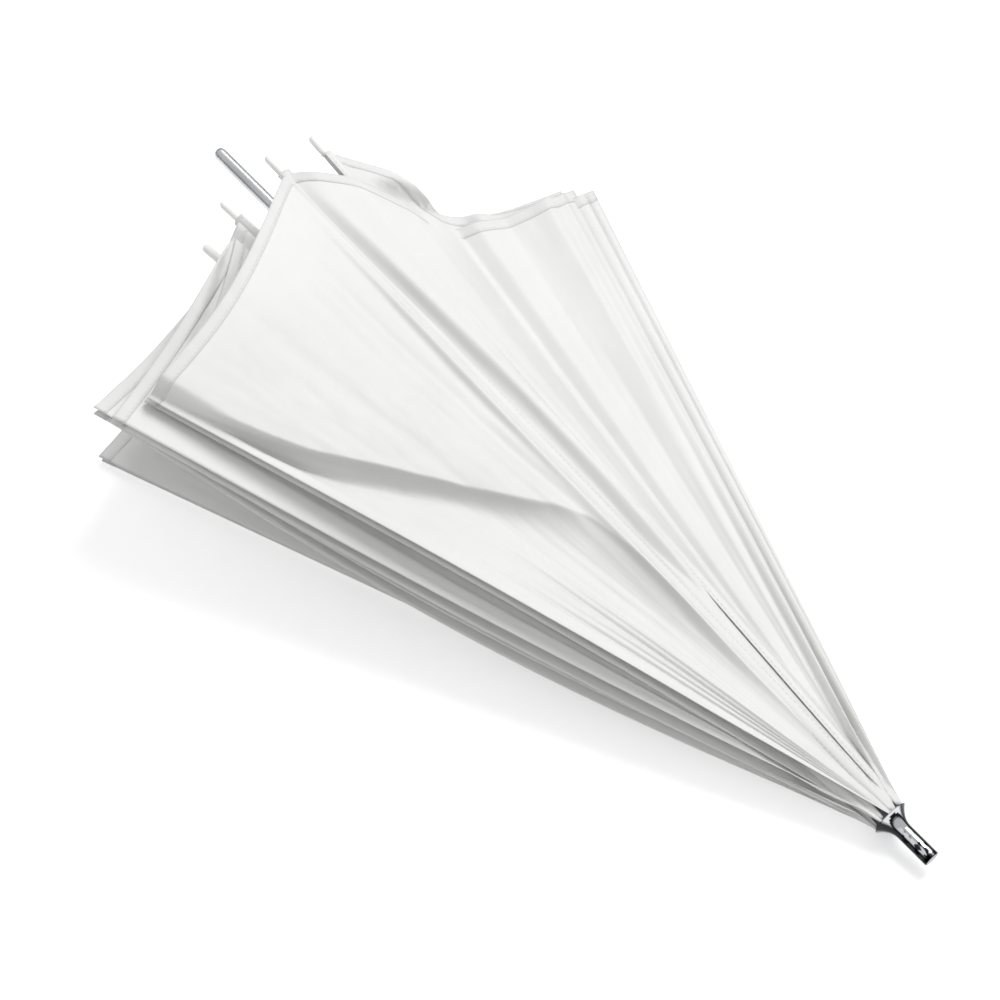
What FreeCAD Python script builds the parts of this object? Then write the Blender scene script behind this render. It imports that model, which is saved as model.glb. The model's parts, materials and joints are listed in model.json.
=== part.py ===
import FreeCAD, Part
import math
import os
from FreeCAD import Vector, Placement, Rotation

# Collapsed studio umbrella reflector, lying on a flat surface.
# All sizes in millimetres. The model is built about the shaft axis first (local frame):
# local x = -s, where s is the distance along the shaft from the top notch towards the free end,
# so the ferrule points to +X; azimuth 0 is straight up, positive azimuth leans to +Y.
# At the end the whole model is tilted so that the ferrule's rim and the lowest rib tip stand on z = 0.

# ---- driving dimensions ---------------------------------------------------
RIBS = 8
SHAFT_R = 4.0            # outside radius of the shaft, the 8 mm size that umbrella brackets take
SHAFT_WALL = 0.8
SHAFT_TOP = -30.0        # s of the shaft's end inside the ferrule
SHAFT_END = 540.0        # s of the free end of the tube
PLUG_LEN = 3.5           # domed end plug standing out of the tube

FERRULE_END = -33.0      # s of the ferrule's closed end
FERRULE_TUBE_R = 4.75
BELL_RIM_S = -2.0
BELL_R = 11.0

PIVOT_R = 6.5            # radius of the wire ring in the top notch and in the runner
WIRE_R = 0.65
EYE_HOLE_R = 0.75
EYE_R = 1.45
TAB_W = 1.6              # thickness of rib and stretcher eyes
SLOT_W = 2.2
SLOT_FLOOR_R = 4.85

THETA0 = math.radians(4.6)     # rib angle from the shaft, collapsed
THETA1 = math.radians(52.0)    # rib angle from the shaft, fully open
RIB_LEN = 502.0                # pivot to the end of the tip
RIB_PEG = 486.0                # where the steel channel ends and its round peg begins
RIB_W = 3.4
RIB_IN_W = 2.4
RIB_LOW = -1.7
RIB_HIGH = 1.9
RIB_WEB_IN = 1.5
TIP_R = 2.65
TIP_START = 488.0

LINK = 216.0             # notch pivot to rib joint, and rib joint to runner pivot
STRETCH_W = 2.0
STRETCH_H = 1.2          # half height
RIVET_R = 0.8
RIVET_HOLE_R = 0.87

RUNNER_BORE = 4.06
RUNNER_FLANGE_R = 9.0
RUNNER_FLANGE = 4.5      # half length of the slotted flange
RUNNER_SLEEVE_R = 6.2
RUNNER_SLEEVE = 26.0     # s of the sleeve's end from the runner's pivot ring

CLOTH_EDGE = 486.0       # where the cloth ends along a rib
# apex to hem along the fold line of each gore: the hem is cut a little unevenly, and bows out between ribs
CREASE_LEN = {1: 458.0, 2: 468.0, 3: 482.0, 4: 490.0, 5: 452.0, 6: 446.0, 7: 444.0, 8: 442.0}
CLOTH_T = 0.8            # thickness of the plain cloth solids
CLOTH_START = 45.0
CLOTH_W0 = 3.6
CLOTH_TRIM = 2.0
CLOTH_GAP = 0.75

# where each gore's fold points, collapsed: slope of the fold line across the shaft, (y, z) per unit s.
# gore k lies between rib k and rib k+1; ribs run from the top round by -Y to the underside and back by +Y.
FOLD_AT = {
    1: (-0.330, 0.112),
    2: (-0.345, 0.100),
    3: (-0.355, 0.083),
    4: (-0.337, -0.0900),
    5: (0.335, -0.0905),
    6: (0.375, -0.078),
    7: (0.362, -0.060),
    8: (0.330, 0.084),
}

U_APEX = -PIVOT_R / math.sin(THETA1)      # the open canopy's apex, along each rib's line
GORE = 2 * math.asin(math.sin(THETA1) * math.sin(math.pi / RIBS))   # flat apex angle of a gore

os.makedirs("parts", exist_ok=True)

X, Y, Z = Vector(1, 0, 0), Vector(0, 1, 0), Vector(0, 0, 1)


def azimuth(i):
    return -2 * math.pi / RIBS * (i - 1)


def outward(i):
    return Vector(0, math.sin(azimuth(i)), math.cos(azimuth(i)))


def tangent(i):
    return Vector(0, math.cos(azimuth(i)), -math.sin(azimuth(i)))


def pivot(i):
    return outward(i) * PIVOT_R


def rib_dir(i, theta):
    return X * -math.cos(theta) + outward(i) * math.sin(theta)


def rib_out(i, theta):
    return X * math.sin(theta) + outward(i) * math.cos(theta)


def rib_joint(i):
    return pivot(i) + rib_dir(i, THETA0) * LINK


RUNNER_S = 2 * LINK * math.cos(THETA0)
RUNNER_OPEN_S = 2 * LINK * math.cos(THETA1)


def in_rib_plane(shape, i, turn, at):
    """A shape drawn along -X with outward = +Z, turned by `turn` in the rib's plane and set at a point."""
    shape = shape.copy()
    shape.rotate(Vector(0, 0, 0), Y, math.degrees(turn))
    shape.rotate(Vector(0, 0, 0), X, -math.degrees(azimuth(i)))
    shape.translate(at)
    return shape


def box(x0, x1, y0, y1, z0, z1):
    return Part.makeBox(x1 - x0, y1 - y0, z1 - z0, Vector(x0, y0, z0))


def cyl_y(r, half, x=0.0, z=0.0):
    return Part.makeCylinder(r, 2 * half, Vector(x, -half, z), Y)


def ring(r_in, r_out, s0, s1):
    a = Part.makeCylinder(r_out, s1 - s0, Vector(-s1, 0, 0), X)
    return a.cut(Part.makeCylinder(r_in, s1 - s0 + 2, Vector(-s1 - 1, 0, 0), X)) if r_in else a


def revolved(points):
    """Solid of revolution about the shaft from (s, r) points."""
    pts = [Vector(-s, 0, r) for s, r in points]
    wire = Part.makePolygon(pts + [pts[0]])
    return Part.Face(wire).revolve(Vector(0, 0, 0), X, 360)


def one(shape):
    """The single solid of a shape, tidied."""
    shape = shape.removeSplitter()
    solids = shape.Solids
    if len(solids) == 1:
        return solids[0]
    return Part.makeCompound(solids)


# ---- fixed pieces on the shaft --------------------------------------------
nodes = {}

STOP_S = RUNNER_OPEN_S - RUNNER_FLANGE - 1.2
STOP_PIN_R = 0.9
STOP_AZ = math.radians(67.5)
RING_S = RUNNER_S + RUNNER_SLEEVE + 1.4
RING_W = 1.2
CATCH_S = RUNNER_OPEN_S + RUNNER_SLEEVE + 0.6
CATCH_AZ = math.radians(22.5)
CATCH_W = 2.2

stop_dir = Vector(0, math.sin(STOP_AZ), math.cos(STOP_AZ))
catch_dir = Vector(0, math.sin(CATCH_AZ), math.cos(CATCH_AZ))

shaft = ring(SHAFT_R - SHAFT_WALL, SHAFT_R, SHAFT_TOP, SHAFT_END)
groove = ring(SHAFT_R - 0.4, SHAFT_R + 1, RING_S, RING_S + RING_W)
shaft = shaft.cut(groove)
stop_pin = Part.makeCylinder(STOP_PIN_R, 11.6, Vector(-STOP_S, 0, 0) - stop_dir * 5.8, stop_dir)
shaft = shaft.cut(stop_pin)
catch_slot = box(-(CATCH_S + 12.5), -(CATCH_S - 1.0), -CATCH_W / 2 - 0.2, CATCH_W / 2 + 0.2, 0, 6)
catch_slot.rotate(Vector(0, 0, 0), X, -math.degrees(CATCH_AZ))
shaft = shaft.cut(catch_slot)
nodes["shaft_tube"] = one(shaft)
nodes["stop_pin"] = stop_pin

ring_c = ring(SHAFT_R - 0.4, 5.3, RING_S, RING_S + RING_W)
gap = box(-(RING_S + RING_W + 1), -(RING_S - 1), -0.9, 0.9, 0, 8)
nodes["lower_stop_ring"] = one(ring_c.cut(gap))

r_in = SHAFT_R - SHAFT_WALL
plug_pts = [(SHAFT_END - 10, 0), (SHAFT_END - 10, r_in - 0.3), (SHAFT_END - 9.6, r_in), (SHAFT_END, r_in)]
for k in range(0, 10):
    t = math.radians(90 * k / 9)
    plug_pts.append((SHAFT_END + PLUG_LEN * math.sin(t), 1.2 + (SHAFT_R - 0.1 - 1.2) * math.cos(t)))
plug_pts.append((SHAFT_END + PLUG_LEN, 0))
nodes["shaft_end_plug"] = revolved(plug_pts)

# trumpet-shaped ferrule: closed tube with a flared bell over the gathered top of the canopy
flare = []
for k in range(0, 13):
    t = k / 12.0
    flare.append((BELL_RIM_S - 11.0 * t, FERRULE_TUBE_R + (BELL_R - FERRULE_TUBE_R) * (1 - t) ** 2.3))
outer = [(s - 0.0, r) for s, r in flare]
inner = [(s, max(r - 0.6, SHAFT_R)) for s, r in flare if r - 0.6 > SHAFT_R]
ferrule_pts = []
ferrule_pts += [(FERRULE_END, 0), (FERRULE_END, FERRULE_TUBE_R - 0.5), (FERRULE_END + 0.15, FERRULE_TUBE_R - 0.2), (FERRULE_END + 0.5, FERRULE_TUBE_R)]
ferrule_pts += list(reversed(outer))
ferrule_pts += [(BELL_RIM_S + 0.35, BELL_R - 0.1), (BELL_RIM_S + 0.5, BELL_R - 0.35), (BELL_RIM_S + 0.3, BELL_R - 0.6)]
ferrule_pts += inner[1:]
ferrule_pts += [(inner[-1][0] - 0.5, SHAFT_R), (SHAFT_TOP, SHAFT_R), (SHAFT_TOP, 0)]
nodes["ferrule"] = revolved(ferrule_pts)

# small round patch of doubled cloth between the bell and the notch
nodes["crown_patch"] = revolved([(-4.6, SHAFT_R), (-4.1, SHAFT_R), (-4.1, 7.2), (-4.6, 7.0)])


def slotted_hub(s0, s1, radius, slot_s0, slot_s1, bore):
    hub = revolved([(s0, bore), (s1, bore), (s1, radius - 0.5), (s1 - 0.5, radius), (s0 + 0.5, radius), (s0, radius - 0.5)])
    for i in range(1, RIBS + 1):
        slot = box(-slot_s1, -slot_s0, -SLOT_W / 2, SLOT_W / 2, SLOT_FLOOR_R, radius + 3)
        slot.rotate(Vector(0, 0, 0), X, -math.degrees(azimuth(i)))
        hub = hub.cut(slot)
    return hub


def wire_ring(s):
    return Part.makeTorus(PIVOT_R, WIRE_R, Vector(-s, 0, 0), X)


notch = slotted_hub(-3.6, 4.5, 8.6, -2.2, 6.0, SHAFT_R)
nodes["top_notch"] = one(notch.cut(wire_ring(0)))
nodes["notch_wire"] = wire_ring(0).Solids[0]

# spring catch: a leaf inside the shaft with a tooth through the shaft's slot
leaf = [(CATCH_S - 4, 2.3), (CATCH_S - 4, 2.9), (CATCH_S, 2.9), (CATCH_S, 5.6), (CATCH_S + 1.2, 5.7),
        (CATCH_S + 9.5, 3.3), (CATCH_S + 11.5, 2.9), (CATCH_S + 38, 2.9), (CATCH_S + 38, 2.3)]
pts = [Vector(-s, -CATCH_W / 2, r) for s, r in leaf]
catch = Part.Face(Part.makePolygon(pts + [pts[0]])).extrude(Vector(0, CATCH_W, 0))
catch.rotate(Vector(0, 0, 0), X, -math.degrees(CATCH_AZ))
nodes["catch_spring"] = catch

# ---- runner ----------------------------------------------------------------
s0 = RUNNER_S
runner = slotted_hub(s0 - RUNNER_FLANGE, s0 + RUNNER_FLANGE, RUNNER_FLANGE_R, s0 - RUNNER_FLANGE - 2, s0 + 2.2, RUNNER_BORE)
sleeve = revolved([(s0 + RUNNER_FLANGE, RUNNER_BORE), (s0 + RUNNER_SLEEVE, RUNNER_BORE), (s0 + RUNNER_SLEEVE, 5.9),
                   (s0 + RUNNER_SLEEVE - 0.3, RUNNER_SLEEVE_R), (s0 + RUNNER_FLANGE, RUNNER_SLEEVE_R)])
runner = runner.fuse(sleeve)
for k in range(3):
    bead = revolved([(s0 + 12 + 4 * k, 6.0), (s0 + 12.4 + 4 * k, 6.8), (s0 + 13.4 + 4 * k, 6.8), (s0 + 13.8 + 4 * k, 6.0)])
    runner = runner.fuse(bead)
nodes["runner"] = one(runner.cut(wire_ring(s0)))
nodes["runner_wire"] = wire_ring(s0).Solids[0]

# ---- ribs, tips, rivets, stretchers -----------------------------------------
tab = cyl_y(EYE_R, TAB_W / 2).fuse(box(-12, 0, -TAB_W / 2, TAB_W / 2, -1.3, 1.3))
channel = box(-RIB_PEG, -8.5, -RIB_W / 2, RIB_W / 2, RIB_LOW, RIB_HIGH)
channel = channel.cut(box(-RIB_PEG + 4, -12.5, -RIB_IN_W / 2, RIB_IN_W / 2, RIB_LOW - 1, RIB_WEB_IN))
rib = channel.fuse(tab)
rib = rib.fuse(Part.makeCylinder(1.2, 12.0, Vector(-RIB_PEG - 10, 0, 0), X))
rib = rib.cut(cyl_y(EYE_HOLE_R, 2)).cut(cyl_y(RIVET_R, 4, -LINK))
rib = rib.removeSplitter().Solids[0]

tip = Part.makeCylinder(TIP_R, RIB_LEN - TIP_R - TIP_START, Vector(-(RIB_LEN - TIP_R), 0, 0), X)
tip = tip.fuse(Part.makeSphere(TIP_R, Vector(-(RIB_LEN - TIP_R), 0, 0)))
tip = tip.fuse(Part.makeCone(1.9, TIP_R, 1.4, Vector(-TIP_START + 1.4, 0, 0), Vector(-1, 0, 0)))
tip = tip.cut(Part.makeCylinder(1.2, 10.0, Vector(-RIB_PEG - 10, 0, 0), X))
tip = tip.removeSplitter().Solids[0]

rivet = cyl_y(RIVET_R, RIB_W / 2 + 0.55, -LINK)
for side in (-1, 1):
    head = Part.makeCylinder(1.35, 0.55, Vector(-LINK, RIB_W / 2 if side > 0 else -RIB_W / 2 - 0.55, 0), Y)
    rivet = rivet.fuse(head)
rivet = rivet.removeSplitter().Solids[0]

bar = box(-LINK, 0, -STRETCH_W / 2, STRETCH_W / 2, -STRETCH_H, STRETCH_H)
bar = bar.fuse(cyl_y(STRETCH_H, STRETCH_W / 2))
bar = bar.cut(box(-LINK - 5, -LINK + 12, TAB_W / 2, 3, -3, 3)).cut(box(-LINK - 5, -LINK + 12, -3, -TAB_W / 2, -3, 3))
bar = bar.fuse(cyl_y(EYE_R, TAB_W / 2, -LINK))
bar = bar.cut(cyl_y(RIVET_HOLE_R, 3)).cut(cyl_y(EYE_HOLE_R, 3, -LINK))
stretcher = bar.removeSplitter().Solids[0]

for i in range(1, RIBS + 1):
    nodes["rib_%d" % i] = in_rib_plane(rib, i, THETA0, pivot(i))
    nodes["rib_tip_%d" % i] = in_rib_plane(tip, i, THETA0, pivot(i))
    nodes["rib_rivet_%d" % i] = in_rib_plane(rivet, i, THETA0, pivot(i))
    nodes["stretcher_%d" % i] = in_rib_plane(stretcher, i, -THETA0, rib_joint(i))


# ---- cloth ------------------------------------------------------------------
# Each gore folds along one line into two flat halves. Half a turns about the line of rib k, half b about
# the line of rib k+1; opened, the halves of a gore lie in one plane and meet along the fold.
def apex(i):
    return pivot(i) + rib_dir(i, THETA0) * U_APEX


def angle_between(a, b):
    return math.acos(max(-1.0, min(1.0, a.dot(b) / (a.Length * b.Length))))


def fold_of(k):
    i, j = k, k % RIBS + 1
    mid = (apex(i) + apex(j)) * 0.5
    centre = (rib_dir(i, THETA0) + rib_dir(j, THETA0)) * 0.5
    b = (centre.y / -centre.x, centre.z / -centre.x)
    t = FOLD_AT[k]

    def at(f):
        d = Vector(-1, b[0] + (t[0] - b[0]) * f, b[1] + (t[1] - b[1]) * f)
        d.normalize()
        e = mid + d * CREASE_LEN[k]
        return e, angle_between(e - apex(i), rib_dir(i, THETA0)), angle_between(e - apex(j), rib_dir(j, THETA0))

    lo, hi = 0.3, 2.0
    for _ in range(60):
        f = (lo + hi) / 2
        e, left, right = at(f)
        if left + right < GORE:
            lo = f
        else:
            hi = f
    return e, left, right


def half_gore(i, side, end, along, w0, fold_len):
    """Plate on rib i; side -1 is the half towards rib i+1, +1 the half towards rib i-1.
    Returns the solid, its turn from collapsed to open (radians about the rib's direction)."""
    u, o = rib_dir(i, THETA0), rib_out(i, THETA0)
    k = tangent(i) * side
    w = end - pivot(i)
    w = w - u * w.dot(u)
    w.normalize()
    g0 = math.atan2(w.dot(o), w.dot(k))
    if g0 < -math.pi / 2:
        g0 += 2 * math.pi
    # open: the gore's plane holds both rib lines
    j = i + 1 if side < 0 else i - 1
    j = (j - 1) % RIBS + 1
    c = rib_dir(i, THETA1) + rib_dir(j, THETA1)
    c = c - rib_dir(i, THETA1) * c.dot(rib_dir(i, THETA1))
    c.normalize()
    g1 = math.atan2(c.dot(rib_out(i, THETA1)), c.dot(tangent(i) * side))
    n = u.cross(w)
    turn = g1 - g0
    # sign of the turn about +u: from k towards o about u
    if u.cross(k).dot(o) < 0:
        turn = -turn
    base = pivot(i)

    def at(a, b):
        return base + u * a + w * b

    def crease(t):
        x = U_APEX + t * math.cos(along)
        y = t * math.sin(along)
        return x + CLOTH_TRIM * math.sin(along), y - CLOTH_TRIM * math.cos(along)

    t0 = (CLOTH_START - U_APEX) / math.cos(along)
    a0, b0 = crease(t0)
    a1, b1 = crease(fold_len - 1.0)
    if b0 > w0 + 3:
        pts = [at(CLOTH_START, w0), at(CLOTH_EDGE, w0), at(a1, b1), at(CLOTH_START, b0)]
    else:
        t2 = (w0 + 3 + CLOTH_TRIM) / math.sin(along)
        a2, b2 = crease(t2)
        pts = [at(a2, w0), at(CLOTH_EDGE, w0), at(a1, b1), at(a2, b2)]
    pts = [p - n * (CLOTH_T / 2) for p in pts]
    solid = Part.Face(Part.makePolygon(pts + [pts[0]])).extrude(n * CLOTH_T)
    return solid, turn


joints = []


def hinge(name, parent, child, pos, axis, lo, hi, follows=None, ratio=None):
    joints.append(dict(name=name, type="hinge", parent=parent, child=child, pos=pos, axis=axis, range=(lo, hi), follows=follows, ratio=ratio))


OPENING = THETA1 - THETA0
MAIN = "rib_1_fold"
bodies = {"shaft": ["shaft_tube", "shaft_end_plug", "ferrule", "crown_patch", "top_notch", "notch_wire", "stop_pin", "lower_stop_ring"],
          "catch": ["catch_spring"], "runner": ["runner", "runner_wire"]}
for i in range(1, RIBS + 1):
    bodies["rib_%d" % i] = ["rib_%d" % i, "rib_tip_%d" % i, "rib_rivet_%d" % i]
    bodies["stretcher_%d" % i] = ["stretcher_%d" % i]
    hinge("rib_%d_fold" % i, "shaft", "rib_%d" % i, pivot(i), tangent(i), 0, OPENING, None if i == 1 else MAIN, None if i == 1 else 1.0)
    hinge("stretcher_%d_fold" % i, "rib_%d" % i, "stretcher_%d" % i, rib_joint(i), tangent(i), -2 * OPENING, 0, MAIN, -2.0)
hinge("runner_slide_by_stretcher_1", "stretcher_1", "runner", pivot(1) - X * RUNNER_S, tangent(1), 0, OPENING, MAIN, 1.0)

folds = {}
halves = []
for k in range(1, RIBS + 1):
    i, j = k, k % RIBS + 1
    end, left, right = fold_of(k)
    folds[k] = (end, left, right)
    # the two plates of a gore part by a small gap at the fold: the one whose rib lies higher goes on top
    across = end - (apex(i) + apex(j)) * 0.5
    across.normalize()
    side_dir = rib_joint(i) - rib_joint(j)
    side_dir = side_dir - across * side_dir.dot(across)
    flat = end - (rib_joint(i) + rib_joint(j)) * 0.5
    flat = flat - across * flat.dot(across)
    flat.normalize()
    up = across.cross(flat)
    s = 1.0 if up.dot(side_dir) > 0 else -1.0
    halves.append(("canopy_%da" % k, i, -1, end + up * (s * CLOTH_GAP), left, CREASE_LEN[k]))
    halves.append(("canopy_%db" % k, j, +1, end - up * (s * CLOTH_GAP), right, CREASE_LEN[k]))


def across_rib(i, end):
    u = rib_dir(i, THETA0)
    w = end - pivot(i)
    w = w - u * w.dot(u)
    w.normalize()
    return w


for name, i, side, end, along, fold_len in halves:
    # the cloth starts far enough from its rib to clear the rib and the other half sewn to it
    other = [h[3] for h in halves if h[1] == i and h[0] != name][0]
    apart = angle_between(across_rib(i, end), across_rib(i, other))
    w0 = max(CLOTH_W0, (CLOTH_T + 0.5) / math.sin(min(apart, math.pi / 2)))
    solid, turn = half_gore(i, side, end, along, w0, fold_len)
    nodes[name] = solid
    bodies[name] = [name]
    hinge(name + "_fold", "rib_%d" % i, name, pivot(i) + rib_dir(i, THETA0) * 200, rib_dir(i, THETA0),
          min(0, turn), max(0, turn), MAIN, turn / OPENING)

# ---- set the model down -------------------------------------------------------
tip_centre = pivot(5) + rib_dir(5, THETA0) * (RIB_LEN - TIP_R)
fx, fz = -(BELL_RIM_S + 0.0), -BELL_R
tx, tz = tip_centre.x, tip_centre.z - TIP_R
TILT = math.atan2(-(tz - fz), -(tx - fx))
place = Rotation(Y, math.degrees(TILT))
placed = {}
low = [1e9] * 3
high = [-1e9] * 3
for name, shape in nodes.items():
    s = shape.copy()
    s.Placement = Placement(Vector(0, 0, 0), place).multiply(s.Placement)
    bb = s.optimalBoundingBox(False, False)
    low = [min(a, b) for a, b in zip(low, (bb.XMin, bb.YMin, bb.ZMin))]
    high = [max(a, b) for a, b in zip(high, (bb.XMax, bb.YMax, bb.ZMax))]
    placed[name] = s
shift = Vector(-(low[0] + high[0]) / 2, -(low[1] + high[1]) / 2, -low[2])
for name, s in placed.items():
    s.Placement = Placement(shift, Rotation()).multiply(s.Placement)
    s.exportStep("parts/%s.step" % name)


def world(p):
    return place.multVec(p) + shift


def world_dir(d):
    return place.multVec(d)


print("box", [round(h - l, 2) for l, h in zip(low, high)], "shift", shift, "tilt", math.degrees(TILT))
print("gore", math.degrees(GORE), "opening", math.degrees(OPENING), "runner", RUNNER_S, RUNNER_OPEN_S)
for k, (e, l, r) in folds.items():
    print("fold", k, [round(v, 1) for v in world(e)], round(math.degrees(l), 2), round(math.degrees(r), 2))
print("nodes", len(nodes))
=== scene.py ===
import math
import random

import bpy
import numpy as np
from mathutils import Matrix, Vector

import json

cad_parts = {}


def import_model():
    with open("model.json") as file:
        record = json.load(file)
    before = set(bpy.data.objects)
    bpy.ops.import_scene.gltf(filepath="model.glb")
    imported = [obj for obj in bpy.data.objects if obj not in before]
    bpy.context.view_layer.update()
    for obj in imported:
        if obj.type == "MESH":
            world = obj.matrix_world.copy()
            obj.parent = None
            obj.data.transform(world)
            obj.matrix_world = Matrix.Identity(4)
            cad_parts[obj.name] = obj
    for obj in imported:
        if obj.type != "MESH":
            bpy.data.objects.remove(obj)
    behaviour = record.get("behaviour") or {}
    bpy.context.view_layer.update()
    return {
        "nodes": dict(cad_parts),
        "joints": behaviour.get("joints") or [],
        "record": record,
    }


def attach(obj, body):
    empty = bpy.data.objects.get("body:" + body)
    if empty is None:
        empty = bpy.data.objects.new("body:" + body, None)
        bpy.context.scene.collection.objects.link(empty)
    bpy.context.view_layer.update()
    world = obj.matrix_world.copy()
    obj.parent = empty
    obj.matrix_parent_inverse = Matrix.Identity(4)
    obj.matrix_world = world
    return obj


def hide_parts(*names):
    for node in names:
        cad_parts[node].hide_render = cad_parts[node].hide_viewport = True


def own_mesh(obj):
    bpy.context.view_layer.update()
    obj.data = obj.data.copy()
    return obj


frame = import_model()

MM = 0.001

# ---------------------------------------------------------------------------
# The umbrella's own geometry, in millimetres about its shaft (see the record's joints)
# ---------------------------------------------------------------------------
RIBS = 8
PIVOT_R = 6.5
THETA0, THETA1 = math.radians(4.6), math.radians(52.0)
CLOTH_EDGE = 486.0
CREASE_LEN = {1: 458.0, 2: 468.0, 3: 482.0, 4: 490.0, 5: 452.0, 6: 446.0, 7: 444.0, 8: 442.0}
FOLD_AT = {1: (-0.330, 0.112), 2: (-0.345, 0.100), 3: (-0.355, 0.083), 4: (-0.337, -0.0900),
           5: (0.335, -0.0905), 6: (0.375, -0.078), 7: (0.362, -0.060), 8: (0.330, 0.084)}
U_APEX = -PIVOT_R / math.sin(THETA1)
GORE = 2 * math.asin(math.sin(THETA1) * math.sin(math.pi / RIBS))
OUT = 2.3            # the cloth runs over the outer side of the ribs

JOINTS = {j["name"]: j for j in frame["joints"]}


def unit(v):
    v = np.asarray(v, float)
    return v / np.linalg.norm(v)


_u1 = np.array(JOINTS["canopy_1a_fold"]["axis"], float)   # along rib 1, in the row frame


def az(i):
    return -2 * math.pi / RIBS * (i - 1)


def outward(i):
    return np.array([0, math.sin(az(i)), math.cos(az(i))])


def tangent(i):
    return np.array([0, math.cos(az(i)), -math.sin(az(i))])


def pivot(i):
    return outward(i) * PIVOT_R


def rib_dir(i, th):
    return np.array([-math.cos(th), 0, 0]) + outward(i) * math.sin(th)


def rib_out(i, th):
    return np.array([math.sin(th), 0, 0]) + outward(i) * math.cos(th)


# rotation about Y that takes the local frame to the row frame: local rib 1 direction -> its cloth joint's axis
a_loc = rib_dir(1, THETA0)
TILT = math.atan2(a_loc[2], a_loc[0]) - math.atan2(_u1[2], _u1[0])
TILT = (TILT + math.pi) % (2 * math.pi) - math.pi
ROT = np.array([[math.cos(TILT), 0, math.sin(TILT)], [0, 1, 0], [-math.sin(TILT), 0, math.cos(TILT)]])
SHIFT = np.array(JOINTS["rib_1_fold"]["pos_m"], float) * 1000 - ROT @ pivot(1)


def world(p):
    return np.asarray(p) @ ROT.T + SHIFT


def turned(d):
    return np.asarray(d) @ ROT.T


def apex(i):
    return pivot(i) + rib_dir(i, THETA0) * U_APEX


def angle(a, b):
    return math.acos(max(-1.0, min(1.0, float(np.dot(a, b) / np.linalg.norm(a) / np.linalg.norm(b)))))


def fold_of(k):
    i, j = k, k % RIBS + 1
    mid = (apex(i) + apex(j)) * 0.5
    c = (rib_dir(i, THETA0) + rib_dir(j, THETA0)) * 0.5
    b = (c[1] / -c[0], c[2] / -c[0])
    t = FOLD_AT[k]
    lo, hi = 0.3, 2.0
    for _ in range(60):
        f = (lo + hi) / 2
        d = unit([-1, b[0] + (t[0] - b[0]) * f, b[1] + (t[1] - b[1]) * f])
        e = mid + d * CREASE_LEN[k]
        left, right = angle(e - apex(i), rib_dir(i, THETA0)), angle(e - apex(j), rib_dir(j, THETA0))
        if left + right < GORE:
            lo = f
        else:
            hi = f
    return e, left, right


class Half:
    """One half of a gore: a flat triangle from the apex, with a straight edge on its rib and one on the fold."""

    def __init__(self, name, k, i, side, end, along):
        self.name, self.k, self.i, self.side, self.along = name, k, i, side, along
        u, o, kk = rib_dir(i, THETA0), rib_out(i, THETA0), tangent(i) * side
        w = end - pivot(i)
        w = unit(w - u * (w @ u))
        g = math.atan2(w @ o, w @ kk)
        if g < -math.pi / 2:
            g += 2 * math.pi
        self.g0 = g
        self.u, self.w, self.o = u, w, o
        self.n = unit(-math.sin(g) * kk + math.cos(g) * o)   # the outer face's normal
        self.apex = apex(i)
        self.fold_len = CREASE_LEN[k]


HALVES = {}
FOLDS = {}
for k in range(1, RIBS + 1):
    i, j = k, k % RIBS + 1
    e, left, right = fold_of(k)
    FOLDS[k] = e
    HALVES["%da" % k] = Half("%da" % k, k, i, -1, e, left)
    HALVES["%db" % k] = Half("%db" % k, k, j, +1, e, right)
for k in range(1, RIBS + 1):
    a, b = HALVES["%da" % k], HALVES["%db" % k]
    m = unit(a.n - b.n)                     # normal of the flap's middle plane
    a.mid, b.mid = m, -m
    up_a = a.n[2] > b.n[2]
    a.top, b.top = up_a, not up_a

T_MIN = 6.0


def smooth(x, a, b):
    t = np.clip((x - a) / (b - a), 0, 1)
    return t * t * (3 - 2 * t)


def bump(x, c, w):
    return np.exp(-((x - c) / w) ** 2)


def noise2(seed, x, y, octaves=3):
    """Smooth seeded value noise, about -1 to 1."""
    out = np.zeros_like(x, float)
    amp, tot = 1.0, 0.0
    for o in range(octaves):
        rng = np.random.RandomState(seed * 17 + o)
        g = rng.uniform(-1, 1, (64, 64))
        xi, yi = np.floor(x).astype(int), np.floor(y).astype(int)
        fx, fy = x - xi, y - yi
        fx, fy = fx * fx * (3 - 2 * fx), fy * fy * (3 - 2 * fy)
        v = (g[xi % 64, yi % 64] * (1 - fx) * (1 - fy) + g[(xi + 1) % 64, yi % 64] * fx * (1 - fy)
             + g[xi % 64, (yi + 1) % 64] * (1 - fx) * fy + g[(xi + 1) % 64, (yi + 1) % 64] * fx * fy)
        out += amp * v
        tot += amp
        amp *= 0.5
        x, y = x * 2.03 + 11.7, y * 2.03 + 5.3
    return out / tot


# how far the hem bows in (-) or out (+) between the rib and the fold, mm
BOW = {"1a": -9.0, "1b": -11.0, "8b": -13.0, "8a": -15.0, "7b": -15.0, "7a": -15.0, "6b": -15.0, "6a": -15.0, "5b": -12.0, "5a": -12.0}
# the sewn hem at the fold line stops short of the plate's corner on the side that hangs
FOLD_CUT = {5: 8.0, 6: 10.0, 7: 10.0, 8: 9.0}


def hem_t(h, B):
    """Distance from the apex to the hem along each ray, B from 0 at the rib to 1 at the fold."""
    r0, r1, al = CLOTH_EDGE - U_APEX, h.fold_len - FOLD_CUT.get(h.k, 0.0), h.along
    ang = B * al
    x0, y0 = r0, 0.0
    x1, y1 = r1 * math.cos(al), r1 * math.sin(al)
    den = np.cos(ang) * (y1 - y0) - np.sin(ang) * (x1 - x0)
    t = (x0 * (y1 - y0) - y0 * (x1 - x0)) / den
    return t + BOW.get(h.name, -3.0) * np.sin(np.pi * B)


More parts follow.
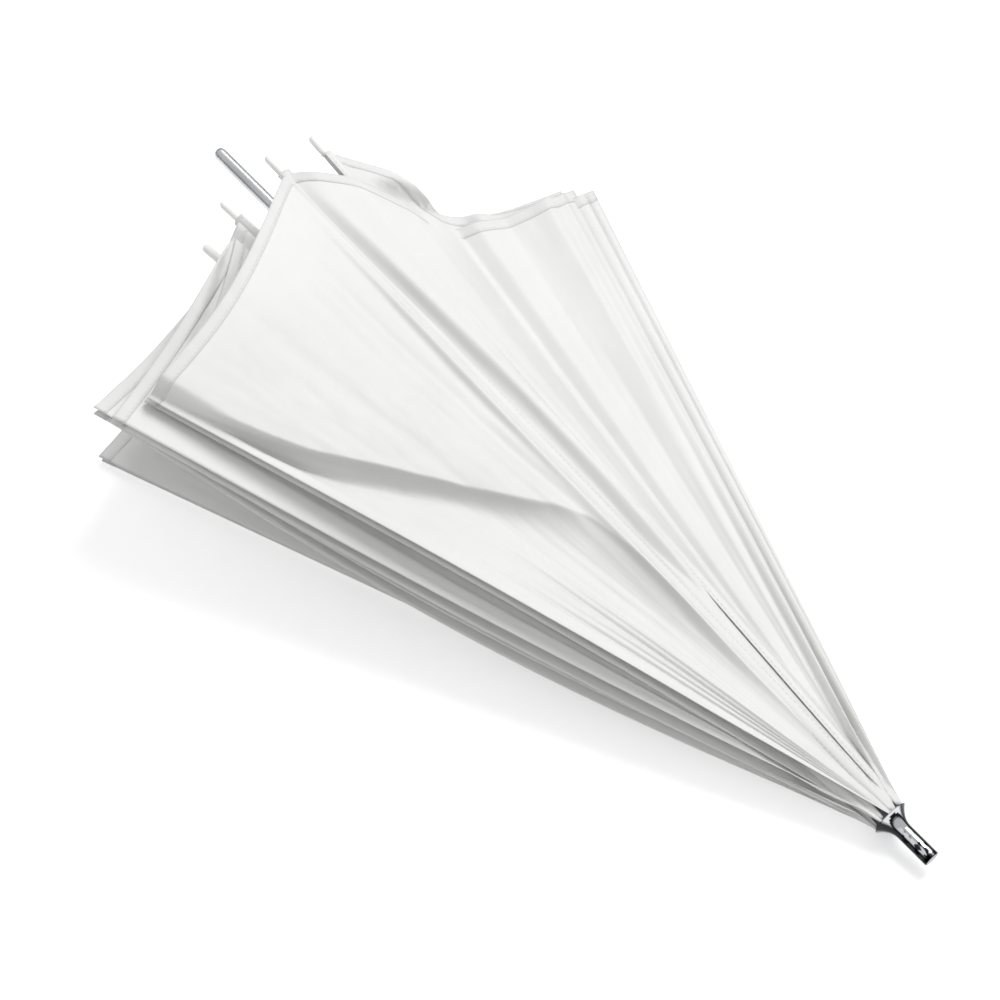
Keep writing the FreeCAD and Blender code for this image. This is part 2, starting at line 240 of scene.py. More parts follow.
def curve(x, pts):
    """Smooth curve through points (x, y)."""
    xs, ys = zip(*pts)
    n = 801
    g = np.linspace(xs[0], xs[-1], n)
    v = np.interp(g, xs, ys)
    k = max(3, int(0.035 * n) | 1)
    w = np.hanning(k + 2)[1:-1]
    w /= w.sum()
    pad = np.concatenate([2 * v[0] - v[k // 2:0:-1], v, 2 * v[-1] - v[-2:-k // 2 - 1:-1]])
    v = np.convolve(pad, w, "same")[k // 2:k // 2 + n]
    return np.interp(x, g, v)


def fade_ends(B, a=0.05, b=0.06):
    return smooth(B, 0.0, a) * (1 - smooth(B, 1 - b, 1.0))


# height of the cloth at the hem, mm above the floor, from the rib (0) to the fold (1)
HEM_Z = {
    "8b": [(0, 99), (0.06, 99), (0.12, 95), (0.18, 90), (0.25, 77), (0.35, 57), (0.43, 36), (0.50, 19), (0.55, 14), (0.62, 19),
           (0.67, 17.5), (0.74, 13.5), (0.84, 16), (0.92, 19.5), (0.965, 15), (1, 15)],
    "8a": [(0, 86), (0.2, 70), (0.45, 22), (0.6, 12), (1, 14)],
    "7b": [(0, 86), (0.2, 66), (0.45, 20), (0.6, 11), (1, 10)],
    "7a": [(0, 52), (0.3, 26), (0.6, 9), (1, 10)],
    "6b": [(0, 52), (0.3, 22), (0.6, 7), (1, 6)],
    "1a": [(0, 99), (0.25, 106), (0.5, 110), (0.8, 112), (1, 111)],
}
# the flap's own drop at its fold line where it lies lower than the flat plate
FOLD_DROP = {8: 70.0, 7: 10.0, 6: 3.5, 5: -2.4, 4: -2.4}
# and its lift midway along, where the flap bows upward
FOLD_LIFT = {1: 6.0, 2: -6.0, 3: -14.0}


def fold_shift(k, F):
    return -FOLD_DROP.get(k, 0.0) * F + FOLD_LIFT.get(k, 0.0) * np.sin(np.pi * np.clip(F, 0, 1)) ** 1.3

# flap 1: where its upper face breaks (top of the step) and where the step ends, as (F, B)
BREAK_TOP = [(0.0, 0.12), (0.2, 0.10), (0.40, 0.11), (0.476, 0.15), (0.526, 0.276), (0.564, 0.388), (0.626, 0.539), (0.685, 0.664),
             (0.763, 0.81), (0.808, 0.88), (0.863, 0.922), (0.943, 0.965), (1.004, 0.975)]
BREAK_FOOT = [(0.0, 0.60), (0.13, 0.68), (0.187, 0.66), (0.247, 0.62), (0.309, 0.575), (0.427, 0.564), (0.487, 0.55), (0.543, 0.56),
              (0.607, 0.62), (0.671, 0.72), (0.756, 0.86), (0.802, 0.915), (0.86, 0.955), (0.945, 0.99), (1.004, 0.995)]


def pleat(B, F, pos, width, height, f0, f1):
    """A radial pleat at B=pos, strongest between f0 and f1."""
    win = smooth(F, f0 - 0.12, f0 + 0.12) * (1 - smooth(F, f1 - 0.15, f1 + 0.15))
    return height * win * bump(B, pos, width)


def relief(h, T, B, F, z_base):
    """The cloth's height above the floor (mm) at rest, for half h."""
    key = h.name
    z_ap = 13.5
    W = T * np.sin(B * h.along)
    # near the top the cloth leaves the rib in a soft curve, not a step
    hold = smooth(B, 0.0, 0.08) * smooth(W, 0.0, 14.0 * (1 - smooth(F, 0.22, 0.55)) + 0.2)
    if key in HEM_Z and key != "1a":
        zh = curve(B, HEM_Z[key])
        z = z_ap * (1 - F) + zh * F
        # hold the true rib height at the rib
        z = z_base + (z - z_base) * hold
    else:
        z = z_base.copy()
    grow = smooth(F, 0.02, 0.4)
    win = fade_ends(B)
    if key == "8b":
        ridge_w = 2.0 + 12.0 * np.sin(np.pi * np.clip(F, 0, 1)) ** 0.8
        z += 7.5 * np.sin(np.pi * np.clip(F, 0, 1)) ** 0.6 * bump(W, ridge_w, 5.5) * smooth(W, 0, 4) * smooth(F, 0.08, 0.42)
        for p in [(0.22, 0.035, -1.6, 0.25, 0.9), (0.32, 0.04, 1.4, 0.15, 0.8), (0.41, 0.035, -1.3, 0.1, 0.7),
                  (0.79, 0.025, -0.8, 0.2, 0.8), (0.87, 0.025, 0.8, 0.1, 0.6)]:
            z += pleat(B + 0.012 * np.sin(5 * F + 9 * p[0]), F, *p) * win
        z += 0.8 * noise2(41, B * 7, F * 3.6) * win * grow
    elif key == "1a":
        zh = curve(B, HEM_Z["1a"])
        top = z_ap * (1 - F) + zh * F
        top = z_base + (top - z_base) * hold + 0.6 * fold_shift(1, F) * B ** 2
        bt, bf = curve(F, BREAK_TOP), curve(F, BREAK_FOOT)
        x = np.clip((B - bt) / (bf - bt), 0, 1)
        stepf = 1 - (1 - x) ** 3.2
        dip = np.clip((1 - B) / np.maximum(1 - bf, 0.05), 0, 1)
        low = z_base + fold_shift(1, F) * B ** 2 - 10.0 * dip ** 1.5 * F * (1 - 0.7 * smooth(F, 0.8, 1.0))
        top += 8.5 * bump(F, 0.40, 0.16) * smooth(B, 0.0, 0.12) * (1 - smooth(B, 0.3, 0.6))
        # the crest beside rib 1
        top += 4.2 * np.sin(np.pi * np.clip(F, 0, 1)) ** 0.7 * bump(W, 6.0, 2.8) * smooth(W, 0, 3) * smooth(F, 0.12, 0.45)
        for p in [(0.17, 0.040, -1.7, 0.45, 0.98), (0.29, 0.035, -0.9, 0.5, 0.9), (0.55, 0.04, -0.7, 0.6, 0.95)]:
            top += pleat(B + 0.02 * np.sin(4 * F + 7 * p[0]), F, *p) * win
        top += 1.0 * noise2(17, B * 5, F * 5.5) * win * grow
        top += 0.25 * noise2(18, B * 14, F * 15, 2) * win * grow
        # the lower part of the cloth, towards the fold
        for p in [(0.62, 0.022, 2.0, 0.12, 0.45), (0.70, 0.02, -2.2, 0.1, 0.5), (0.78, 0.022, 1.8, 0.08, 0.45), (0.87, 0.02, -2.0, 0.08, 0.5)]:
            low += pleat(B, F, *p) * win
        low += 0.9 * noise2(19, B * 9, F * 3.5) * win * grow
        z = top * (1 - stepf) + low * stepf
    else:
        sag = {1: 3, 2: 2, 3: 3, 4: 1.0, 5: 0.5, 6: 0, 7: 0, 8: 0}[h.k]
        z -= sag * np.sin(np.pi * B) * F
        z += 1.2 * noise2(60 + ord(key[1]) + h.k * 3, B * 7, F * 3.4) * win * grow
        if key in ("2a", "3a", "4a"):
            for p in [(0.45, 0.03, -2.0, 0.2, 0.8), (0.6, 0.025, 1.8, 0.2, 0.7), (0.78, 0.022, -1.8, 0.1, 0.8), (0.9, 0.02, 1.4, 0.1, 0.9)]:
                z += pleat(B, F, *p) * win
    if key == "4a":
        z += 3.0 * np.sin(np.pi * B) * F
    return z


# layers from the top down on each side of the shaft: a lower layer never rises through the one above
LEFT = ["1a", "1b", "2a", "2b", "3a", "3b", "4a", "4b"]
RIGHT = ["8b", "8a", "7b", "7a", "6b", "6a", "5b", "5a"]
CELL, GX, GY = 2.0, 300, 200


def cell_of(P):
    ix = np.clip(((P[..., 0] + 300) / CELL).astype(int), 0, GX - 1)
    iy = np.clip(((P[..., 1] + 200) / CELL).astype(int), 0, GY - 1)
    return ix, iy


def blur(Z, passes=2):
    for _ in range(passes):
        Q = np.pad(Z, 1, mode="edge")
        Z = (Q[:-2, 1:-1] + Q[2:, 1:-1] + Q[1:-1, :-2] + Q[1:-1, 2:] + 4 * Q[1:-1, 1:-1]) / 8
    return Z


FIELDS = {}


def base_points(h, T, B):
    ang = B * h.along
    U, W = T * np.cos(ang), T * np.sin(ang)
    W = W - 2.6 * (1 - smooth(B, 0, 0.03)) * smooth(T, 10, 60) + 0.9 * smooth(B, 0.97, 1.0) * smooth(T, 30, 120)
    P = h.apex[None, None, :] + h.u * U[..., None] + h.w * W[..., None] + h.n * OUT
    near = (1 - smooth(W, 0.0, 7.0))[..., None]
    return P + (h.o - h.n) * OUT * near


def build_fields():
    """Displacement of every half along its own normal, on a regular (F, B) grid."""
    for side in (LEFT, RIGHT):
        ceiling = np.full((GX, GY), 1e6)
        for m, key in enumerate(side):
            h = HALVES[key]
            nf, nb = (320, 240) if key == "1a" else (260, 120)
            F, B = np.meshgrid(np.linspace(0, 1.004, nf), np.linspace(0, 1, nb), indexing="ij")
            hem = hem_t(h, B)
            T = T_MIN + (hem - T_MIN) * F
            P = world(base_points(h, T, B))
            z = relief(h, T, B, F, P[..., 2])
            W = T * np.sin(B * h.along)
            if key not in HEM_Z:
                z = z + fold_shift(h.k, F) * B ** 2
            # below the layers above (except beside this half's own rib), above the ones below
            ix, iy = cell_of(P)
            free = smooth(W, 1.0, 14.0)
            top = np.minimum(z, ceiling[ix, iy] - 1.0)
            z = z * (1 - free) + top * free
            low = 0.4 + 0.85 * (len(side) - 1 - m)
            z = np.where(z < low, low + (z - low) * 0.02, z)
            # meet the other half of the gore at the fold
            ln = turned(h.n)
            H = (z - P[..., 2]) / ln[2]
            if m:
                H = blur(H, 3)
            edge = smooth(B, 0.93, 1.0)
            H_edge = fold_shift(h.k, F) / ln[2]
            H = H * (1 - edge) + H_edge * edge
            H = H * smooth(B, 0.0, 0.03)
            H = H * smooth(T, 8.0, 30.0)
            FIELDS[key] = H
            Q = P + ln * H[..., None]
            for dx in (-1, 0, 1):
                for dy in (-1, 0, 1):
                    jx, jy = cell_of(Q + np.array([dx * 1.5, dy * 1.5, 0]))
                    np.minimum.at(ceiling, (jx, jy), Q[..., 2])


def sample(key, F, B):
    H = FIELDS[key]
    nf, nb = H.shape
    f = np.clip(F / 1.004 * (nf - 1), 0, nf - 1.001)
    b = np.clip(B * (nb - 1), 0, nb - 1.001)
    i, j = f.astype(int), b.astype(int)
    a, c = f - i, b - j
    return (H[i, j] * (1 - a) * (1 - c) + H[i + 1, j] * a * (1 - c) + H[i, j + 1] * (1 - a) * c + H[i + 1, j + 1] * a * c)


def place_half(h, T, B, F, extra=0.0):
    """Points of the half at rest, in the row frame (mm)."""
    H = sample(h.name, F, B)
    grow = smooth(F, 0.05, 0.7) * smooth(B, 0.0, 0.06) * (1 - smooth(B, 0.95, 1.0))
    H = H + 0.12 * noise2(500 + h.k, B * 26, F * 14, 2) * grow
    H = H + extra
    return world(base_points(h, T, B)) + turned(h.n) * H[..., None]


build_fields()


def grid_mesh(name, P, uv=None, keep_uv=None):
    nt, nb = P.shape[:2]
    me = bpy.data.meshes.new(name)
    co = (P * MM).reshape(-1, 3).astype(np.float32)
    idx = np.arange(nt * nb).reshape(nt, nb)
    quads = np.stack([idx[:-1, :-1], idx[1:, :-1], idx[1:, 1:], idx[:-1, 1:]], -1).reshape(-1, 4)
    me.vertices.add(len(co))
    me.vertices.foreach_set("co", co.ravel())
    me.loops.add(len(quads) * 4)
    me.loops.foreach_set("vertex_index", quads.astype(np.int32).ravel())
    me.polygons.add(len(quads))
    me.polygons.foreach_set("loop_start", np.arange(0, len(quads) * 4, 4, dtype=np.int32))
    me.polygons.foreach_set("use_smooth", np.ones(len(quads), dtype=bool))
    if uv is not None:
        layer = me.uv_layers.new(name="cloth")
        layer.data.foreach_set("uv", uv.reshape(-1, 2)[quads.ravel()].astype(np.float32).ravel())
    me.update()
    me.validate()
    ob = bpy.data.objects.new(name, me)
    bpy.context.scene.collection.objects.link(ob)
    return ob


def solidify(ob, t):
    m = ob.modifiers.new("thickness", "SOLIDIFY")
    m.thickness = t * MM
    m.offset = 0.0
    m.use_even_offset = False
    return m


# ---------------------------------------------------------------------------
# materials
# ---------------------------------------------------------------------------
def new_material(name):
    m = bpy.data.materials.new(name)
    m.use_nodes = True
    nt = m.node_tree
    nt.nodes.clear()
    out = nt.nodes.new("ShaderNodeOutputMaterial")
    p = nt.nodes.new("ShaderNodeBsdfPrincipled")
    return m, nt, out, p


def link(nt, a, b):
    nt.links.new(a, b)


def ramp(nt, fac, stops):
    r = nt.nodes.new("ShaderNodeValToRGB")
    r.color_ramp.elements[0].position = stops[0][0]
    r.color_ramp.elements[0].color = stops[0][1]
    r.color_ramp.elements[1].position = stops[-1][0]
    r.color_ramp.elements[1].color = stops[-1][1]
    for pos, col in stops[1:-1]:
        e = r.color_ramp.elements.new(pos)
        e.color = col
    link(nt, fac, r.inputs["Fac"])
    return r.outputs["Color"]


def noise_node(nt, vec, scale, detail=4.0, rough=0.55):
    n = nt.nodes.new("ShaderNodeTexNoise")
    n.inputs["Scale"].default_value = scale
    n.inputs["Detail"].default_value = detail
    n.inputs["Roughness"].default_value = rough
    link(nt, vec, n.inputs["Vector"])
    return n.outputs["Fac"]


def cloth_material(name, base=(0.83, 0.83, 0.825)):
    m, nt, out, p = new_material(name)
    uv = nt.nodes.new("ShaderNodeUVMap")
    uv.uv_map = "cloth"
    tc = nt.nodes.new("ShaderNodeTexCoord")
    big = noise_node(nt, tc.outputs["Object"], 9.0, 3.0)
    lo = tuple(c * 0.955 for c in base) + (1,)
    hi = tuple(min(1, c * 1.015) for c in base) + (1,)
    col = ramp(nt, big, [(0.3, lo), (0.7, hi)])
    # weave: two crossed threads
    w1 = nt.nodes.new("ShaderNodeTexWave")
    w1.wave_type, w1.bands_direction = "BANDS", "X"
    w1.inputs["Scale"].default_value = 1.0
    w2 = nt.nodes.new("ShaderNodeTexWave")
    w2.wave_type, w2.bands_direction = "BANDS", "Y"
    w2.inputs["Scale"].default_value = 1.0
    mp = nt.nodes.new("ShaderNodeMapping")
    mp.inputs["Scale"].default_value = (1900, 1900, 1)
    link(nt, uv.outputs["UV"], mp.inputs["Vector"])
    for w in (w1, w2):
        w.inputs["Distortion"].default_value = 0.6
        w.inputs["Detail"].default_value = 1.0
        link(nt, mp.outputs["Vector"], w.inputs["Vector"])
    mul = nt.nodes.new("ShaderNodeMath")
    mul.operation = "ADD"
    link(nt, w1.outputs["Fac"], mul.inputs[0])
    link(nt, w2.outputs["Fac"], mul.inputs[1])
    fine = noise_node(nt, tc.outputs["Object"], 140.0, 5.0)
    crumple = noise_node(nt, tc.outputs["Object"], 38.0, 4.0, 0.6)
    b1 = nt.nodes.new("ShaderNodeBump")
    b1.inputs["Strength"].default_value = 0.25
    b1.inputs["Distance"].default_value = 0.0009
    link(nt, crumple, b1.inputs["Height"])
    b2 = nt.nodes.new("ShaderNodeBump")
    b2.inputs["Strength"].default_value = 0.12
    b2.inputs["Distance"].default_value = 0.0003
    link(nt, fine, b2.inputs["Height"])
    link(nt, b1.outputs["Normal"], b2.inputs["Normal"])
    b3 = nt.nodes.new("ShaderNodeBump")
    b3.inputs["Strength"].default_value = 0.10
    b3.inputs["Distance"].default_value = 0.0001
    link(nt, mul.outputs[0], b3.inputs["Height"])
    link(nt, b2.outputs["Normal"], b3.inputs["Normal"])
    rough = ramp(nt, fine, [(0.3, (0.48, 0.48, 0.48, 1)), (0.7, (0.6, 0.6, 0.6, 1))])
    link(nt, col, p.inputs["Base Color"])
    link(nt, rough, p.inputs["Roughness"])
    link(nt, b3.outputs["Normal"], p.inputs["Normal"])
    p.inputs["Specular IOR Level"].default_value = 0.35
    p.inputs["Sheen Weight"].default_value = 0.12
    p.inputs["Sheen Roughness"].default_value = 0.5
    tr = nt.nodes.new("ShaderNodeBsdfTranslucent")
    link(nt, col, tr.inputs["Color"])
    link(nt, b3.outputs["Normal"], tr.inputs["Normal"])
    mix = nt.nodes.new("ShaderNodeMixShader")
    mix.inputs["Fac"].default_value = 0.22
    link(nt, p.outputs[0], mix.inputs[1])
    link(nt, tr.outputs[0], mix.inputs[2])
    link(nt, mix.outputs[0], out.inputs["Surface"])
    return m


def stitched_material(name, base, rows, pitch):
    """The doubled cloth of a hem or seam, with rows of machine stitches; rows are across, the stitches run along."""
    m = cloth_material(name, base)
    nt = m.node_tree
    uv = nt.nodes.new("ShaderNodeUVMap")
    uv.uv_map = "cloth"
    sep = nt.nodes.new("ShaderNodeSeparateXYZ")
    link(nt, uv.outputs["UV"], sep.inputs[0])

    def math_node(op, a, b=None):
        n = nt.nodes.new("ShaderNodeMath")
        n.operation = op
        for k, v in enumerate((a, b)):
            if v is None:
                continue
            if isinstance(v, (int, float)):
                n.inputs[k].default_value = v
            else:
                link(nt, v, n.inputs[k])
        return n.outputs[0]

    along = "X" if rows[0] == "along_x" else "Y"
    across = "Y" if along == "X" else "X"
    dash = math_node("GREATER_THAN", math_node("SINE", math_node("MULTIPLY", sep.outputs[along], 2 * math.pi / pitch)), -0.25)
    total = None
    for r in rows[1:]:
        near = math_node("LESS_THAN", math_node("ABSOLUTE", math_node("SUBTRACT", sep.outputs[across], r)), 0.00028)
        total = near if total is None else math_node("MAXIMUM", total, near)
    stitch = math_node("MULTIPLY", dash, total)
    p = next(n for n in nt.nodes if n.type == "BSDF_PRINCIPLED")
    old = p.inputs["Normal"].links[0].from_socket
    b = nt.nodes.new("ShaderNodeBump")
    b.inputs["Strength"].default_value = 0.8
    b.inputs["Distance"].default_value = 0.0004
    link(nt, stitch, b.inputs["Height"])
    link(nt, old, b.inputs["Normal"])
    link(nt, b.outputs["Normal"], p.inputs["Normal"])
    old_col = p.inputs["Base Color"].links[0].from_socket
    mix = nt.nodes.new("ShaderNodeMix")
    mix.data_type = "RGBA"
    link(nt, stitch, mix.inputs[0])
    link(nt, old_col, mix.inputs[6])
    mix.inputs[7].default_value = (0.72, 0.72, 0.71, 1)
    link(nt, mix.outputs[2], p.inputs["Base Color"])
    return m


def metal_material(name, base, rough, dents=0.3, brushed=None, dark=0.9):
    m, nt, out, p = new_material(name)
    tc = nt.nodes.new("ShaderNodeTexCoord")
    mp = nt.nodes.new("ShaderNodeMapping")
    if brushed:
        mp.inputs["Scale"].default_value = brushed
    link(nt, tc.outputs["Object"], mp.inputs["Vector"])
    streak = noise_node(nt, mp.outputs["Vector"], 260.0, 4.0, 0.6)
    blot = noise_node(nt, tc.outputs["Object"], 60.0, 3.0)
    lo = tuple(c * dark for c in base) + (1,)
    hi = tuple(min(1, c * 1.03) for c in base) + (1,)
    col = ramp(nt, blot, [(0.3, lo), (0.7, hi)])
    link(nt, col, p.inputs["Base Color"])
    p.inputs["Metallic"].default_value = 1.0
    r = ramp(nt, streak, [(0.3, (rough * 0.8,) * 3 + (1,)), (0.75, (rough * 1.35,) * 3 + (1,))])
    link(nt, r, p.inputs["Roughness"])
    b = nt.nodes.new("ShaderNodeBump")
    b.inputs["Strength"].default_value = dents
    b.inputs["Distance"].default_value = 0.00006
    link(nt, streak, b.inputs["Height"])
    link(nt, b.outputs["Normal"], p.inputs["Normal"])
    link(nt, p.outputs[0], out.inputs["Surface"])
    return m


def plastic_material(name, base, rough=0.35, var=0.94):
    m, nt, out, p = new_material(name)
    tc = nt.nodes.new("ShaderNodeTexCoord")
    blot = noise_node(nt, tc.outputs["Object"], 120.0, 3.0)
    fine = noise_node(nt, tc.outputs["Object"], 1500.0, 2.0)
    lo = tuple(c * var for c in base) + (1,)
    hi = tuple(min(1, c * 1.02) for c in base) + (1,)
    link(nt, ramp(nt, blot, [(0.35, lo), (0.65, hi)]), p.inputs["Base Color"])
    link(nt, ramp(nt, blot, [(0.3, (rough * 0.85,) * 3 + (1,)), (0.7, (rough * 1.2,) * 3 + (1,))]), p.inputs["Roughness"])
    b = nt.nodes.new("ShaderNodeBump")
    b.inputs["Strength"].default_value = 0.15
    b.inputs["Distance"].default_value = 0.00005
    link(nt, fine, b.inputs["Height"])
    link(nt, b.outputs["Normal"], p.inputs["Normal"])
    link(nt, p.outputs[0], out.inputs["Surface"])
    return m


CLOTH = cloth_material("canopy_cloth_weave")
HEM = stitched_material("canopy_hem_stitched", (0.80, 0.80, 0.795), ("along_y", 0.0015), 0.0032)
SEAM = stitched_material("canopy_seam_stitched", (0.84, 0.84, 0.835), ("along_x", -0.0026, 0.0026), 0.0032)
# the ferrule's chrome: painted reflection bands and painted shade on its closed end are multiplied into its colour
# further down
CHROME = metal_material("ferrule_chrome_polish", (0.66, 0.67, 0.69), 0.05, 0.05)


def painted_chrome_reflections(m):
    """Painted reflections: dark, white and grey bands round the ferrule's own axis, painted into the chrome's base
    colour where polished chrome would mirror the unlit room and the bright room.
    """
    nt = m.node_tree
    p = next(n for n in nt.nodes if n.type == "BSDF_PRINCIPLED")
    tc = nt.nodes.new("ShaderNodeTexCoord")
    mp = nt.nodes.new("ShaderNodeMapping")
    mp.vector_type = "POINT"
    mp.inputs["Rotation"].default_value = (0, -TILT, 0)
    c0 = SHIFT * MM
    back0 = ROT.T @ c0
    mp.inputs["Location"].default_value = tuple(-back0)
    link(nt, tc.outputs["Object"], mp.inputs["Vector"])
    sep = nt.nodes.new("ShaderNodeSeparateXYZ")
    link(nt, mp.outputs["Vector"], sep.inputs[0])
    at = nt.nodes.new("ShaderNodeMath")
    at.operation = "ARCTAN2"
    link(nt, sep.outputs["Y"], at.inputs[0])
    link(nt, sep.outputs["Z"], at.inputs[1])
    ma = nt.nodes.new("ShaderNodeMath")
    ma.operation = "MULTIPLY_ADD"
    ma.inputs[1].default_value = 1 / (2 * math.pi)
    ma.inputs[2].default_value = 0.5
    link(nt, at.outputs[0], ma.inputs[0])
    # painted reflection colours: near black, near white and grey
    k, w, g = (0.035, 0.036, 0.04, 1), (0.9, 0.9, 0.91, 1), (0.42, 0.43, 0.45, 1)
    d = lambda a: 0.5 + a / 360.0
    painted_light_bands = ramp(nt, ma.outputs[0], [(0.0, g), (d(-98), g), (d(-86), k), (d(-52), k), (d(-40), w), (d(20), w), (d(32), k), (d(56), k), (d(66), g),
                                    (1.0, g)])
    # painted reflection: smaller dark patches on the tube; painted shade: the tube's closed end is darkened
    sc = nt.nodes.new("ShaderNodeVectorMath")
    sc.operation = "MULTIPLY"
    sc.inputs[1].default_value = (230, 430, 430)
    link(nt, mp.outputs["Vector"], sc.inputs[0])
    no = nt.nodes.new("ShaderNodeTexNoise")
    no.inputs["Scale"].default_value = 1.0
    no.inputs["Detail"].default_value = 1.5
    link(nt, sc.outputs[0], no.inputs["Vector"])
    painted_reflection_patch = ramp(nt, no.outputs["Fac"], [(0.0, k), (0.43, k), (0.50, (1, 1, 1, 1)), (1.0, (1, 1, 1, 1))])
    xs = nt.nodes.new("ShaderNodeMath")
    xs.operation = "MULTIPLY"
    xs.inputs[1].default_value = 1 / 0.04
    link(nt, sep.outputs["X"], xs.inputs[0])
    one, nil = (1, 1, 1, 1), (0, 0, 0, 1)
    tube = ramp(nt, xs.outputs[0], [(0.0, nil), (0.30, nil), (0.36, one), (1.0, one)])
    # painted shade on the tube's closed end
    end = ramp(nt, xs.outputs[0], [(0.0, one), (0.745, one), (0.775, (0.08, 0.08, 0.085, 1)), (1.0, (0.08, 0.08, 0.085, 1))])

    def mixed(kind, fac, a, b):
        n = nt.nodes.new("ShaderNodeMix")
        n.data_type = "RGBA"
        n.blend_type = kind
        if isinstance(fac, float):
            n.inputs[0].default_value = fac
        else:
            link(nt, fac, n.inputs[0])
        link(nt, a, n.inputs[6])
        link(nt, b, n.inputs[7])
        return n.outputs[2]

    painted_light_bands = mixed("MULTIPLY", tube, painted_light_bands, painted_reflection_patch)
    painted_light_bands = mixed("MULTIPLY", 1.0, painted_light_bands, end)
    # the painted reflections and painted shade are multiplied into the base colour, so they stay fixed whatever the
    # light does
    old = p.inputs["Base Color"].links[0].from_socket
    mix = nt.nodes.new("ShaderNodeMix")
    mix.data_type = "RGBA"
    mix.blend_type = "MULTIPLY"
    mix.inputs[0].default_value = 1.0
    link(nt, old, mix.inputs[6])
    link(nt, painted_light_bands, mix.inputs[7])
    link(nt, mix.outputs[2], p.inputs["Base Color"])


# paint reflection bands and end shade into the ferrule chrome's colour
painted_chrome_reflections(CHROME)
STEEL = metal_material("shaft_satin_steel", (0.60, 0.61, 0.62), 0.30, 0.25, (1, 40, 40), 0.85)
RIBSTEEL = metal_material("rib_plated_steel", (0.62, 0.62, 0.62), 0.28, 0.25, (1, 40, 40), 0.88)
WIRE = metal_material("wire_steel", (0.60, 0.59, 0.57), 0.25, 0.2)
TIP = plastic_material("tip_moulded_white", (0.86, 0.86, 0.845), 0.34)
HUB = plastic_material("hub_moulded_black", (0.035, 0.035, 0.038), 0.42, 0.8)

by_slot = {"ferrule_chrome": CHROME, "shaft_metal": STEEL, "tip_plastic": TIP, "wire_steel": WIRE, "rib_steel": RIBSTEEL,
           "hub_plastic": HUB, "canopy_cloth": CLOTH}
slot_of = {s["node"]: s["material_slot"] for s in frame["record"]["subparts"]}
for node, ob in frame["nodes"].items():
    mat = by_slot[slot_of[node]]
    if not ob.material_slots:
        ob.data.materials.append(mat)
    for s in ob.material_slots:
        s.material = mat

# ---------------------------------------------------------------------------
# the canopy
# ---------------------------------------------------------------------------
for key, h in HALVES.items():
    seen = key in ("8b", "3a", "4a", "2a", "7b")
    nt, nb = (300, 160) if key == "1a" else (220, 84) if seen else (130, 48)
    Bv = np.linspace(0, 1, nb)
    Fv = np.linspace(0, 1, nt)
    F, B = np.meshgrid(Fv, Bv, indexing="ij")
    hem = hem_t(h, B)
    T = T_MIN + (hem - T_MIN) * F
    P = place_half(h, T, B, F)
    uv = np.stack([T * np.cos(B * h.along), T * np.sin(B * h.along)], -1) * MM
    body = "canopy_" + key
    ob = grid_mesh("gore_" + key, P, uv)
    solidify(ob, 0.22)
    ob.data.materials.append(CLOTH)
    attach(ob, body)
    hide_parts(body)
    # the hem: the last 7 mm of cloth, doubled
    nh = 7
    Fh = np.linspace(0, 1, nh)
    FF, BB = np.meshgrid(Fh, Bv, indexing="ij")
    hemB = hem_t(h, BB)
    TT = hemB - 7.0 + 7.6 * FF
    P2 = place_half(h, TT, BB, (TT - T_MIN) / (hemB - T_MIN))
    uv2 = np.stack([TT - hemB + 7.0, BB * h.along * hemB], -1) * MM
    hm = grid_mesh("hem_" + key, P2, uv2)
    solidify(hm, 0.75)
    hm.data.materials.append(HEM)
    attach(hm, body)
    axis = turned(h.n)
    for o in (ob, hm):
        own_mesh(o)

# a sewn seam lies over every rib, where the two gores meet
for i in range(1, RIBS + 1):
    nt, nb = 240, 13
    Fv, Bv = np.linspace(0, 1, nt), np.linspace(-1, 1, nb)
    F, B = np.meshgrid(Fv, Bv, indexing="ij")
    half = 3.9 * smooth(F, -0.05, 0.08)
    t = 8.0 + (CLOTH_EDGE - U_APEX + 1.4 - 8.0) * F
    Wd = half * B
    lift = OUT + 0.55 - 1.5 * np.abs(B) ** 2.4 + 0.05 * np.sin(t * 2.1) * (np.abs(B) > 0.5)
    P = (apex(i) + rib_dir(i, THETA0) * t[..., None] + tangent(i) * Wd[..., None] + rib_out(i, THETA0) * lift[..., None])
    sm = grid_mesh("seam_%d" % i, world(P), np.stack([t, Wd], -1) * MM)
    solidify(sm, 0.35)
    sm.data.materials.append(SEAM)
    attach(sm, "rib_%d" % i)

# ---------------------------------------------------------------------------
# floor, light, camera
# ---------------------------------------------------------------------------
bpy.ops.mesh.primitive_plane_add(size=12, location=(0, 0, -0.0002))
floor = bpy.context.object
floor.name = "floor"
m, nt_, out, p = new_material("floor_white")
tc = nt_.nodes.new("ShaderNodeTexCoord")
link(nt_, ramp(nt_, noise_node(nt_, tc.outputs["Object"], 2.0), [(0.3, (0.95, 0.95, 0.95, 1)), (0.7, (0.96, 0.96, 0.96, 1))]), p.inputs["Base Color"])
p.inputs["Roughness"].default_value = 0.9
p.inputs["Specular IOR Level"].default_value = 0.0
p.inputs["Emission Color"].default_value = (1, 1, 1, 1)
p.inputs["Emission Strength"].default_value = 0.30
link(nt_, p.outputs[0], out.inputs["Surface"])
floor.data.materials.append(m)

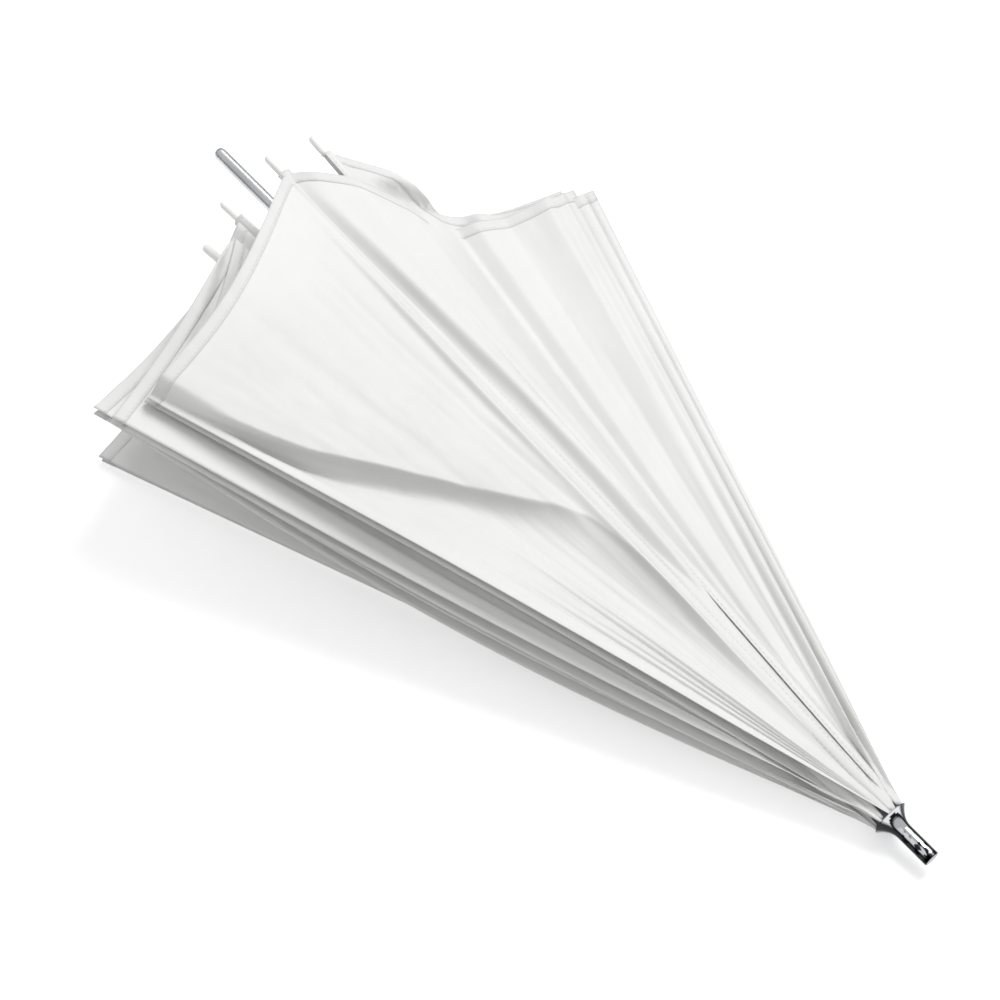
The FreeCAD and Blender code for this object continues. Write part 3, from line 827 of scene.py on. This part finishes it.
world_ = bpy.data.worlds.new("studio")
bpy.context.scene.world = world_
world_.use_nodes = True
wn = world_.node_tree
bg = wn.nodes["Background"]
wtc = wn.nodes.new("ShaderNodeTexCoord")
sep = wn.nodes.new("ShaderNodeSeparateXYZ")
wn.links.new(wtc.outputs["Generated"], sep.inputs[0])
wn.links.new(ramp(wn, sep.outputs["Z"], [(0.0, (0.02, 0.02, 0.02, 1)), (0.22, (0.03, 0.03, 0.03, 1)), (0.42, (1, 1, 1, 1)), (1.0, (1, 1, 1, 1))]), bg.inputs["Color"])
bg.inputs["Strength"].default_value = 0.72

AZ, EL, DIST = math.radians(47.438), math.radians(60.0), 2.0
back = Vector((math.sin(AZ) * math.cos(EL), -math.cos(AZ) * math.cos(EL), math.sin(EL)))
right = Vector((math.cos(AZ), math.sin(AZ), 0))
upv = back.cross(right)


def area_light(name, at, target, size, power, color=(1, 1, 1)):
    L = bpy.data.lights.new(name, "AREA")
    L.shape = "SQUARE"
    L.size = size
    L.energy = power
    L.color = color
    o = bpy.data.objects.new(name, L)
    o.location = at
    o.rotation_euler = (Vector(target) - Vector(at)).to_track_quat("-Z", "Y").to_euler()
    bpy.context.scene.collection.objects.link(o)
    return o


# key from the upper right of the view, high up; a weak broad fill opposite
uph = Vector((upv.x, upv.y, 0)).normalized()
key_dir = (right * 0.6 + uph * 0.8).normalized()
area_light("key", key_dir * 1.05 + Vector((0, 0, 1.55)), (0, 0, 0.05), 1.0, 25)
area_light("fill", key_dir * -1.2 + Vector((0, 0, 1.6)), (0, 0, 0.05), 1.6, 2.5)

cam_data = bpy.data.cameras.new("camera")
cam = bpy.data.objects.new("camera", cam_data)
bpy.context.scene.collection.objects.link(cam)
loc = Vector((0, 0.00602, 0.04978)) + right * -0.035 + upv * -0.016 + back * DIST
rot = Matrix((right, upv, back)).transposed()
cam.matrix_world = Matrix.Translation(loc) @ rot.to_4x4()
cam_data.sensor_width = 36
cam_data.lens = 36 * 3.670
cam_data.clip_end = 50
cam_data.dof.use_dof = False
bpy.context.scene.view_settings.view_transform = "Standard"
bpy.context.scene.camera = cam
